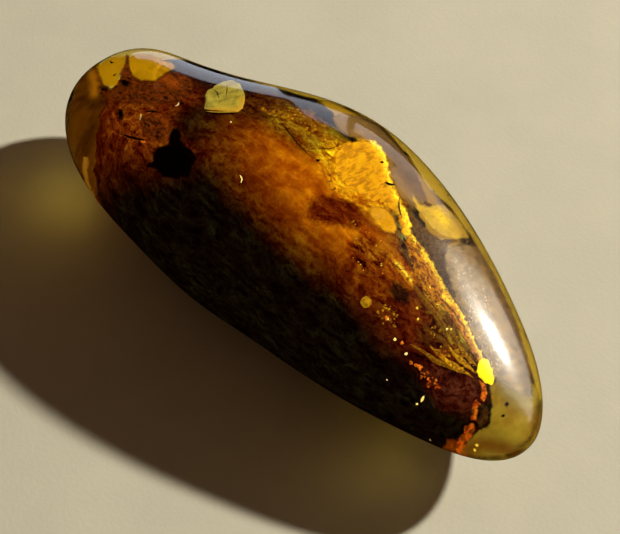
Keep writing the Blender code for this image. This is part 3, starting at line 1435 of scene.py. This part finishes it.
@dataclass(frozen=True)
class SunSpangle(Inclusion):
    """A round stress crack, flat along its lower edge, with ribs that fan out."""

    finish: GrainFinish = GrainFinish(
        name="sun_spangle", dark=Tone.OLIVE, light=Tone.STRAW, hot=Tone.MUSTARD, glow=0.32, hot_glow=0.8,
        grain=1.0, stretch=(1.2, 0.8, 1.0), lean=(0.0, 0.0, 0.6), edges=(0.1, 0.6), fade=False,
        relief=0.03,
    )
    parts: tuple[Part, ...] = (
        Sheet(
            outline=(
                (204, 109), (206, 99), (205, 95), (208, 90), (213, 88), (214, 86), (222, 82), (232, 80),
                (240, 84), (244, 92), (245, 101), (243, 108), (238, 112), (222, 111),
            ),
            depth=2.5, lift=0.4, thickness=0.12, relief=0.03, ragged=0.5,
            hot=((206, 110), (222, 111), (240, 111), (243, 100)), warmth=4.5,
        ),
        Sheet(
            outline=(
                (205, 107), (207, 99), (206, 95), (209, 91), (213, 90), (217, 96), (219, 101), (216, 107),
            ),
            depth=2.5, lift=0.6, thickness=0.12, relief=0.02, ragged=0.4,
        ),
        Thread(line=((206, 111), (214, 112), (226, 112), (238, 112)), depth=2.3),
        Thread(line=((214, 88), (222, 83), (232, 81), (239, 85)), width=0.1, depth=2.2, heat=0.0),
    )


@dataclass(frozen=True)
class YellowFlake(Inclusion):
    """The bright lemon flake at the end of the ridge."""

    finish: GrainFinish = GrainFinish(
        name="yellow_flake", dark=Tone.GOLD, light=Tone.LEMON, hot=Tone.LEMON, glow=0.85, hot_glow=1.0,
        grain=2.2, edges=(0.3, 0.5), fade=False, relief=0.15,
    )
    parts: tuple[Part, ...] = (
        Sheet(
            outline=(
                (480, 359), (488, 359), (490, 367), (496, 371), (495, 377), (492, 385), (486, 383),
                (478, 376), (477, 367),
            ),
            depth=4.0, thickness=0.15, relief=0.08, ragged=1.3, step=1.6, hot=((482, 364), (490, 380)),
        ),
    )


@dataclass(frozen=True)
class Embers(Inclusion):
    """Orange-red crumbs that close the debris at the narrow end."""

    finish: GrainFinish = GrainFinish(
        name="embers", dark=Tone.RED_BROWN, light=Tone.EMBER, hot=Tone.ORANGE, glow=0.35, hot_glow=0.85,
        grain=2.4, edges=(0.42, 0.66), fade=False, relief=0.4,
    )
    parts: tuple[Part, ...] = (
        Sheet(
            outline=((472, 406), (478, 404), (480, 411), (477, 421), (471, 420)), depth=5.0, lift=0.4,
            thickness=0.3, relief=0.3, ragged=2.0, step=1.6, hot=((476, 406), (475, 418)), warmth=2.0,
        ),
        Sheet(
            outline=((468, 426), (473, 427), (472, 435), (466, 440), (464, 434)), depth=5.0, lift=0.4,
            thickness=0.3, relief=0.3, ragged=2.0, step=1.6, hot=((471, 428), (467, 437)), warmth=1.6,
        ),
        Sheet(
            outline=((459, 438), (466, 440), (464, 448), (459, 455), (455, 451)), depth=5.0,
            thickness=0.3, relief=0.3, ragged=2.0, step=1.6, hot=((463, 441), (458, 452)), warmth=1.0,
        ),
        Sheet(
            outline=((479, 380), (486, 385), (487, 394), (484, 402), (480, 398), (482, 390)), depth=5.0,
            thickness=0.2, relief=0.1, hot=((482, 382), (486, 393), (483, 400)), warmth=3.0,
        ),
        Scatter(at=(430, 381), reach=(14, 5), turn=48, count=26, size=0.22, lift=0.1, seed=7),
        Scatter(at=(476, 412), reach=(10, 4), turn=100, count=30, depth=5.0, lift=0.6, seed=8),
        Scatter(at=(468, 432), reach=(8, 4), turn=115, count=26, depth=5.0, lift=0.6, seed=9),
        Scatter(at=(461, 446), reach=(9, 5), turn=115, count=26, size=0.3, depth=5.0, lift=0.4, seed=10),
        Crumb(at=(387, 318), size=0.35),
        Crumb(at=(402, 343)),
        Crumb(at=(411, 363), size=0.35),
        Crumb(at=(420, 367), size=0.45),
        Crumb(at=(416, 365)),
        Thread(line=((141, 141), (146, 142)), width=0.25),
    )


@dataclass(frozen=True)
class PlumBlock(Inclusion):
    """The dark block behind the embers."""

    finish: GrainFinish = GrainFinish(
        name="plum_block", dark=Tone.SOOT, light=Tone.PLUM, hot=Tone.PLUM, hot_glow=0.5, grain=1.2,
        fade=False, relief=0.1,
    )
    parts: tuple[Part, ...] = (
        Sheet(
            outline=((479, 405), (487, 404), (489, 412), (487, 423), (480, 427), (476, 420)), depth=6.5,
            lift=0.2, thickness=0.8, relief=0.1, step=3.0,
        ),
    )


@dataclass(frozen=True)
class PaintedTipShade(Inclusion):
    """Red-brown painted shade in the clear broad end, for the shadowed floor seen through it.

    Painted orange light lies on its upper lobe and in a strip by its lower edge, and it fades out towards
    the skin.
    """

    finish: GrainFinish = GrainFinish(
        name="painted_tip_shade", dark=Tone.DEEP_BROWN, light=Tone.TIP_BROWN, hot=Tone.TIP_ORANGE, glow=0.45,
        hot_glow=0.9, grain=0.35, stretch=(1.0, 1.0, 0.5), cover=0.97, steady=0.9,
    )
    parts: tuple[Part, ...] = (
        Sheet(
            outline=(
                (60, 92), (70, 72), (86, 60), (100, 60), (104, 76), (116, 100), (116, 130), (108, 150),
                (100, 170), (98, 204), (82, 194), (68, 172), (60, 148), (56, 122), (57, 104),
            ),
            depth=99.0, lift=-0.8, ragged=0.5, step=2.5, hot=((92, 74), (95, 84), (94, 94)), warmth=5.0,
            feather=4.0,
        ),
        Sheet(
            outline=(
                (82, 156), (89, 157), (90, 165), (88, 172), (90, 182), (93, 190), (97, 198), (91, 195),
                (85, 186), (81, 172),
            ),
            depth=1.2, relief=0.05, ragged=1.0, hot=((85, 158), (85, 170), (88, 184), (93, 196)),
            warmth=4.0, feather=1.5,
        ),
    )


@dataclass(frozen=True)
class AmberWindows(Inclusion):
    """Places where the light from below shines yellow through the clear amber."""

    finish: GrainFinish = GrainFinish(
        name="amber_windows", dark=Tone.MUSTARD, light=Tone.WINDOW_GOLD, hot=Tone.HOT_GOLD, grain=0.35,
        edges=(0.15, 0.55), cover=0.9,
    )
    parts: tuple[Part, ...] = (
        Sheet(
            outline=(
                (95, 66), (110, 57), (127, 54), (128, 66), (120, 74), (118, 86), (104, 86), (99, 76),
            ),
            depth=4.0, lift=0.6, feather=3.0,
        ),
        Sheet(
            outline=(
                (126, 56), (140, 52), (152, 54), (172, 62), (178, 68), (162, 76), (156, 82), (140, 82),
                (128, 72),
            ),
            depth=4.0, lift=0.6, feather=3.0,
        ),
    )


@dataclass(frozen=True)
class PaintedShadeVeil(Inclusion):
    """Dark, speckled grey-brown films of painted shade in the clear amber beside the ridge."""

    finish: GrainFinish = GrainFinish(
        name="painted_shade_veil", dark=Tone.DEEP_BROWN, light=Tone.SHADE_GREY, hot=Tone.SHADE_GREY, glow=0.7,
        hot_glow=0.7, grain=4.0, edges=(0.4, 0.7), cover=0.94, relief=0.05,
    )
    parts: tuple[Part, ...] = (
        Sheet(
            outline=(
                (408, 202), (413, 207), (418, 217), (425, 226), (433, 233), (441, 239), (455, 238),
                (460, 241), (448, 246), (447, 264), (452, 280), (458, 296), (466, 315), (476, 338),
                (483, 356), (474, 342), (464, 322), (454, 302), (445, 288), (438, 272), (429, 256),
                (419, 243), (410, 230), (406, 215),
            ),
            depth=3.6, lift=0.4, relief=0.1, step=3.0, feather=1.5,
        ),
        Sheet(
            outline=((424, 199), (430, 203), (436, 206), (430, 208), (424, 205)), depth=4.0, lift=0.0,
            step=1.5, feather=1.5,
        ),
        Sheet(
            outline=((436, 204), (441, 203), (446, 208), (447, 216), (443, 217), (440, 210)), depth=4.0,
            lift=0.0, ragged=1.0, step=1.5, feather=2.0,
        ),
        Thread(line=((444, 213), (445, 222), (448, 232)), depth=4.0),
        Thread(line=((464, 238), (468, 241), (466, 244)), width=0.3, depth=1.5),
    )


@dataclass(frozen=True)
class PaintedMauveReflection(Inclusion):
    """The dull mauve-brown between the gold leaf and the far rim.

    It is a painted reflection over the dark behind it.
    """

    finish: GrainFinish = GrainFinish(
        name="painted_mauve_reflection", dark=Tone.MAUVE, light=Tone.TAN, hot=Tone.TAN, glow=0.35, hot_glow=0.35,
        edges=(0.3, 0.7), cover=0.85,
    )
    parts: tuple[Part, ...] = (
        Sheet(
            outline=(
                (330, 116), (344, 112), (360, 114), (372, 120), (384, 130), (396, 142), (406, 154),
                (415, 168), (422, 182), (428, 198), (428, 204), (420, 206), (410, 208), (400, 198),
                (391, 180), (386, 160), (380, 148), (372, 141), (350, 139), (336, 130),
            ),
            depth=4.5, lift=-0.8, ragged=1.0, step=3.0, feather=3.0,
        ),
    )


@dataclass(frozen=True)
class SunnyPatch(Inclusion):
    """A pale yellow patch where the lit surface below shows through the clear side."""

    finish: GrainFinish = GrainFinish(
        name="sunny_patch", dark=Tone.PALE_GOLD, light=Tone.SUNNY, hot=Tone.HOT_GOLD, glow=0.45,
        hot_glow=0.5, grain=1.0, edges=(0.2, 0.6), cover=0.92,
    )
    parts: tuple[Part, ...] = (
        Sheet(
            outline=(
                (413, 193), (421, 204), (430, 206), (437, 203), (444, 204), (453, 212), (463, 224),
                (471, 239), (462, 240), (452, 239), (443, 237), (433, 231), (424, 221), (416, 209),
                (411, 198),
            ),
            depth=3.5, lift=0.2, ragged=0.5, hot=((438, 213), (446, 222)), warmth=5.0, feather=2.5,
        ),
    )


@dataclass(frozen=True)
class NarrowTip(Inclusion):
    """Painted light in the narrow end: olive-yellow where light comes through.

    It is brown along its lower side.
    """

    finish: GrainFinish = GrainFinish(
        name="narrow_tip", dark=Tone.BROWN_GOLD, light=Tone.PALE_OLIVE, hot=Tone.TIP_BROWN, glow=0.72,
        hot_glow=0.55, grain=0.25, edges=(0.2, 0.7), cover=0.95, steady=0.9,
    )
    parts: tuple[Part, ...] = (
        Sheet(
            outline=(
                (488, 384), (500, 376), (518, 374), (534, 384), (546, 403), (547, 426), (538, 448),
                (520, 463), (500, 468), (476, 464), (456, 458), (462, 448), (468, 440), (478, 430),
                (489, 424), (491, 404),
            ),
            depth=4.5, lift=0.2, step=2.5,
            hot=((468, 450), (482, 444), (500, 447), (516, 452), (530, 446), (541, 428)), warmth=8.0,
            feather=2.0,
        ),
    )


@dataclass(frozen=True)
class PaintedTanReflection(Inclusion):
    """A painted tan reflection on the narrow end's far side, under the soft mirror image of the lights.

    A painted orange line runs near its outer edge.
    """

    finish: GrainFinish = GrainFinish(
        name="painted_tan_reflection", dark=Tone.MAUVE, light=Tone.TAN, hot=Tone.TIP_ORANGE, glow=0.35, hot_glow=0.45,
        grain=1.2, edges=(0.35, 0.65), cover=0.88, steady=0.8,
    )
    parts: tuple[Part, ...] = (
        Sheet(
            outline=(
                (446, 246), (458, 243), (480, 244), (492, 262), (506, 290), (518, 318), (528, 350),
                (534, 380), (534, 400), (522, 396), (508, 388), (494, 378), (480, 352), (468, 330),
                (456, 306), (448, 280), (443, 262),
            ),
            depth=3.0, lift=-0.8, step=2.5, hot=((519, 326), (528, 352), (533, 384)), warmth=2.6,
            feather=4.0,
        ),
    )


@dataclass(frozen=True)
class GoldenFibres(Inclusion):
    """Slanting fibres and crumbs of dull gold towards the narrow end."""

    finish: GrainFinish = GrainFinish(
        name="golden_fibres", dark=Tone.BARK, light=Tone.BROWN_GOLD, hot=Tone.GOLD, glow=0.45,
        hot_glow=0.75, grain=2.8, edges=(0.4, 0.62), fade=False, relief=0.3,
    )
    parts: tuple[Part, ...] = (
        Thread(
            line=((410, 344), (424, 352), (436, 361), (452, 368), (470, 375)), width=0.38, lift=0.2,
            heat=0.3,
        ),
        Thread(line=((430, 346), (442, 358), (456, 366), (474, 378)), width=0.34, lift=0.25, heat=0.6),
        Thread(line=((448, 345), (454, 354), (463, 362), (476, 373)), width=0.4, lift=0.3, heat=0.8),
        Thread(line=((456, 338), (462, 350), (468, 358), (477, 366)), width=0.34, lift=0.3, heat=0.5),
        Thread(line=((436, 352), (446, 360), (458, 372)), width=0.3, lift=0.4),
        Thread(line=((413, 284), (424, 300), (436, 314), (444, 326)), width=0.5, lift=0.2, heat=0.2),
        Thread(line=((420, 280), (428, 296), (440, 310)), width=0.4, lift=0.2, heat=0.7),
        Scatter(at=(388, 316), reach=(13, 9), turn=45, count=34, size=0.18, seed=2),
        Scatter(at=(366, 228), reach=(16, 6), turn=20, count=20, size=0.13, seed=4),
        Scatter(at=(312, 128), reach=(34, 11), turn=33, count=50, size=0.22, seed=6),
        Scatter(at=(277, 114), reach=(17, 3), turn=18, count=26, size=0.3, seed=13),
        Scatter(at=(340, 172), reach=(16, 22), turn=30, count=40, size=0.2, lift=0.2, seed=11),
        Scatter(at=(452, 348), reach=(30, 12), turn=45, count=40, size=0.22, seed=12),
    )


@dataclass(frozen=True)
class DustAndPaintedGlints(Inclusion):
    """Dust just under the skin on the narrow end's far side.

    Its specks are painted white and glow, as painted glints round the highlight there.
    """

    finish: GrainFinish = GrainFinish(
        name="dust_and_painted_glints", dark=Tone.TAN, light=Tone.WHITE, hot=Tone.WHITE, hot_glow=0.7, grain=3.0,
        fade=False,
    )
    parts: tuple[Part, ...] = (
        Scatter(
            at=(474, 292), reach=(42, 10), turn=62, count=110, size=0.08, depth=0.35, lift=0.0, seed=21,
        ),
        Scatter(
            at=(486, 340), reach=(34, 14), turn=62, count=90, size=0.08, depth=0.35, lift=0.0, seed=22,
        ),
        Scatter(at=(433, 262), reach=(40, 8), turn=62, count=60, size=0.07, depth=5.0, lift=0.0, seed=23),
    )


@dataclass(frozen=True)
class Sparks(Inclusion):
    """Tiny bright glints and bubbles."""

    finish: GrainFinish = GrainFinish(
        name="sparks", dark=Tone.GOLD, light=Tone.HOT_GOLD, hot=Tone.WHITE, glow=1.0, hot_glow=1.3,
        grain=3.0, edges=(0.2, 0.5), fade=False, relief=0.02,
    )
    parts: tuple[Part, ...] = (
        Crumb(at=(395, 339), size=0.25, heat=0.5),
        Crumb(at=(406, 354), size=0.25, heat=0.6),
        Crumb(at=(388, 319), size=0.15, heat=0.5),
        Thread(line=((421, 402), (424, 396)), width=0.22, depth=4.0, heat=0.4),
        Crumb(at=(417, 404), size=0.22, depth=4.0, heat=0.4),
        Crumb(at=(231, 122), size=0.15, depth=3.0),
        Crumb(at=(477, 445), size=0.22, depth=4.0, heat=0.2),
        Crumb(at=(475, 450), size=0.19, depth=4.0, heat=0.1),
        Crumb(at=(430, 440), size=0.12, depth=3.0),
        Crumb(at=(387, 380), size=0.14, depth=3.0, heat=0.5),
        Crumb(at=(417, 308), size=0.19, heat=0.0),
        Crumb(at=(418, 319), size=0.2, heat=0.0),
        Crumb(at=(447, 329), size=0.17, heat=0.8),
        Crumb(at=(451, 329), size=0.17, heat=0.3),
        Thread(line=((240, 175), (242, 179), (241, 183)), width=0.11, depth=5.0, heat=0.7),
        Thread(line=((175, 106), (178, 105), (179, 102)), width=0.1, depth=5.0, heat=0.9),
        Thread(line=((141, 114), (140, 120)), width=0.12, depth=5.0, heat=0.8),
        Thread(line=((88, 188), (94, 196)), width=0.15, depth=0.8, heat=0.3),
    )


@dataclass(frozen=True)
class Bubble(Inclusion):
    """The round golden bubble in the middle of the dark side."""

    finish: GrainFinish = GrainFinish(
        name="bubble", dark=Tone.BROWN_GOLD, light=Tone.MUSTARD, hot=Tone.MUSTARD, grain=1.8, fade=False,
        roughness=0.2, relief=0.03,
    )
    parts: tuple[Part, ...] = (
        Crumb(at=(366, 302), size=1.1, lift=0.5, rough=0.15, flat=0.9, heat=0.5, rings=14),
    )


INCLUSIONS = (
    FarRim(), BarkFlakes(), SootyLumps(), GoldLeaf(), MustardLens(), CrumblyRidge(), SunSpangle(),
    YellowFlake(), Embers(), PlumBlock(), PaintedTipShade(), AmberWindows(), PaintedShadeVeil(), PaintedMauveReflection(), SunnyPatch(),
    NarrowTip(), PaintedTanReflection(), GoldenFibres(), DustAndPaintedGlints(), Sparks(), Bubble(),
)


@dataclass(frozen=True)
class Wall:
    """An upright wall of light that only the polish mirrors.

    faces is the direction that it stands in, in degrees from +X towards +Y, and distance is how far away
    it stands. start and end are its sides, sideways from that direction, and foot and top are the heights
    of its edges. These are all in metres. radiance is how bright its face is.
    """

    name: str
    start: float
    end: float
    foot: float
    top: float
    colour: Colour
    faces: float = 68.0
    distance: float = 0.35
    radiance: float = 1.1


WALLS = (
    Wall(
        name="side_wall", start=0.10, end=0.9, foot=0.03, top=0.72, colour=(1.0, 0.93, 0.80), faces=20.0,
        distance=0.40, radiance=2.6,
    ),
    Wall(name="back_wall_right", start=0.18, end=0.275, foot=0.0, top=0.32, colour=(0.95, 0.86, 0.90)),
    Wall(name="back_wall_middle", start=0.275, end=0.5, foot=0.0, top=0.16, colour=(0.95, 0.86, 0.90)),
    Wall(name="back_wall_left", start=0.54, end=0.845, foot=-0.065, top=0.30, colour=(0.85, 0.88, 1.0)),
    Wall(name="back_wall_far", start=0.845, end=2.2, foot=-0.37, top=0.03, colour=(0.85, 0.88, 1.0)),
)


@dataclass
class Studio:
    """A pale floor, a soft key light like low sun, and walls of light that the polish mirrors."""

    floor_size: float = 3000.0
    floor_drop: float = 0.1
    world_colour: Colour = (1.0, 0.56, 0.32)
    world_strength: float = 0.08
    key_from: tuple[float, float] = (62.0, 39.0)
    key_size: float = 0.05
    key_radiance: float = 1750.0
    key_colour: Colour = (1.0, 0.95, 0.84)
    walls: tuple[Wall, ...] = WALLS

    def direction(self, azimuth: float, elevation: float) -> Vector:
        """The direction from the piece to a light, turned from +X towards +Y."""
        a, e = math.radians(azimuth), math.radians(elevation)
        return Vector((math.cos(a) * math.cos(e), math.sin(a) * math.cos(e), math.sin(e)))

    def wall(self, wall: Wall) -> None:
        """Makes one wall of light.

        Args:
            wall: The wall.
        """
        out = self.direction(wall.faces, 0)
        sideways = self.direction(wall.faces + 90, 0)
        middle = out * wall.distance + sideways * (wall.start + wall.end) / 2
        middle.z = (wall.foot + wall.top) / 2
        size = (wall.end - wall.start, wall.top - wall.foot)
        self.light(wall.name, middle, out, size, wall.radiance, wall.colour, False)

    def light(
        self,
        name: str,
        place: Vector,
        out: Vector,
        size: tuple[float, float],
        radiance: float,
        colour: Colour,
        lights_matt: bool = True,
    ) -> None:
        """Makes a rectangular light that the camera itself doesn't see.

        Args:
            name: The light's name.
            place: Its middle, in metres.
            out: The direction from the piece to it.
            size: Its width and height, in metres.
            radiance: How bright its face is.
            colour: Its colour.
            lights_matt: Whether it also lights matt things, or is only mirrored.
        """
        data = bpy.data.lights.new(name, "AREA")
        data.shape = "RECTANGLE"
        data.size, data.size_y = size
        data.color = colour
        data.energy = radiance * math.pi * size[0] * size[1]
        made = bpy.data.objects.new(name, data)
        made.location = place
        made.rotation_mode = "QUATERNION"
        made.rotation_quaternion = out.to_track_quat("Z", "Y")
        made.visible_camera = False
        made.visible_diffuse = lights_matt
        bpy.context.scene.collection.objects.link(made)

    def floor(self) -> bpy.types.Object:
        """Makes the floor."""
        half = self.floor_size / 2
        corners = [(x * half, y * half, -self.floor_drop) for x, y in ((-1, -1), (1, -1), (1, 1), (-1, 1))]
        mesh = bpy.data.meshes.new("floor")
        mesh.from_pydata([Vector(corner) * MM for corner in corners], [], [(0, 1, 2, 3)])
        mesh.materials.append(PaleFloor().make())
        made = bpy.data.objects.new("floor", mesh)
        made.visible_glossy = False
        bpy.context.scene.collection.objects.link(made)
        return made

    def build(self) -> None:
        """Builds the floor and the lights."""
        self.floor()
        world = bpy.data.worlds.new("studio")
        world.use_nodes = True
        background = world.node_tree.nodes["Background"]
        background.inputs["Color"].default_value = (*self.world_colour, 1.0)
        background.inputs["Strength"].default_value = self.world_strength
        world.cycles_visibility.glossy = False
        bpy.context.scene.world = world
        key = self.direction(*self.key_from)
        self.light("key", key, key, (self.key_size, self.key_size), self.key_radiance, self.key_colour)
        for wall in self.walls:
            self.wall(wall)
        bpy.context.scene.view_settings.view_transform = "Standard"


def main() -> None:
    """Builds the amber piece and its studio, piece by piece."""
    logging.basicConfig(level=logging.INFO, format="%(name)s: %(message)s")
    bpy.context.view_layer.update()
    # Without a seed, noise_vector shakes the sheets' outlines another way in each run.
    noise.seed_set(NOISE_SEED)
    points = AMBER.skin(around=48, sections=32).points
    shift = float(points[:, 1].max() + points[:, 1].min()) / 2
    camera = PhotoCamera()
    camera.make()
    body = AmberBody(AMBER, shift)
    mass = DebrisMass(DEBRIS, shift)
    mass_skin = mass.skin()
    sight = Sight(camera, body.skin().tree(), mass_skin.tree())
    pieces = [body.build(), mass.build(mass_skin, DebrisFinish(sight, PATCHES))]
    pieces += [inclusion.build(sight) for inclusion in INCLUSIONS]
    Studio().build()
    for piece in pieces:
        LOG.info("%s has %d faces", piece.name, len(piece.data.polygons))


if __name__ == "__main__":
    main()
